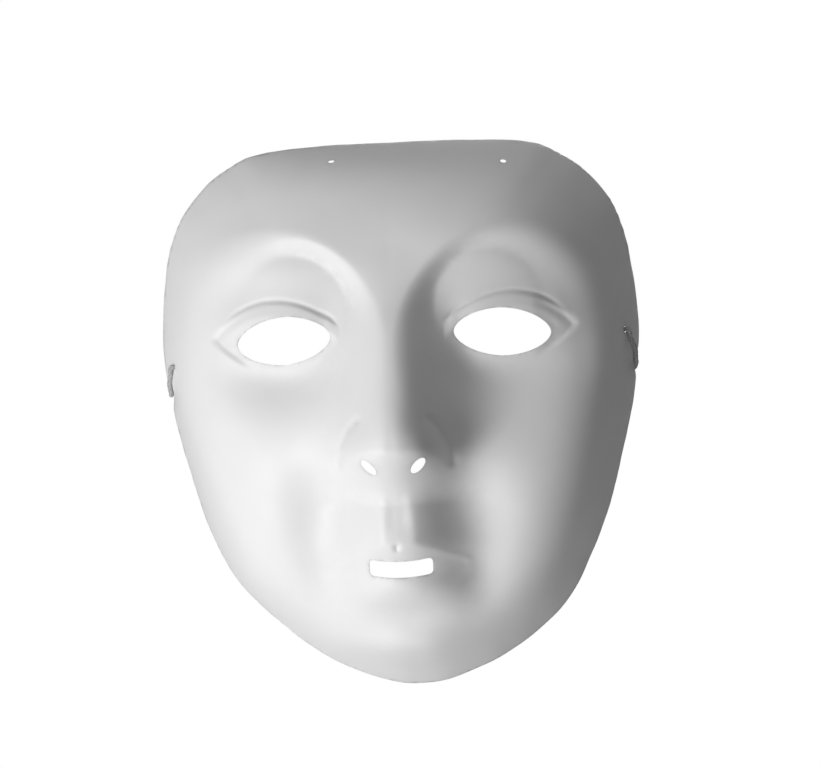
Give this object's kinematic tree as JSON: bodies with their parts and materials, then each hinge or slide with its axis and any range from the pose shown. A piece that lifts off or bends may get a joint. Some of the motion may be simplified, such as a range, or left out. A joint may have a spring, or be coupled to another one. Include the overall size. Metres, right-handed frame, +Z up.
{
  "type": "full-face costume mask",
  "caption": "Blank full-face costume mask: a thin formed plastic shell with eye, nostril and mouth openings and a knotted elastic cord.",
  "frame": {"origin": "middle of the flat rim that lies against the wearer's face", "axes": "+Z up towards the forehead, -Y the way the face looks, +X towards the wearer's left"},
  "size_m": [0.1718, 0.0771, 0.193],
  "materials": {
    "mask_plastic": "matte white formed plastic sheet",
    "elastic_cord": "braided cover over a rubber core"
  },
  "bodies": {
    "shell": {"mask_shell": "mask_plastic", "tie_loop_left": "elastic_cord", "tie_loop_right": "elastic_cord", "knot_left": "elastic_cord", "knot_right": "elastic_cord"},
    "strap": {"elastic_strap": "elastic_cord"}
  },
  "joints": [
    {"name": "strap_swing", "type": "hinge", "parent": "shell", "child": "strap", "pos_m": [0, 0.0015, 0.012], "axis": [1, 0, 0], "range_deg": [-8, 160]}
  ]
}
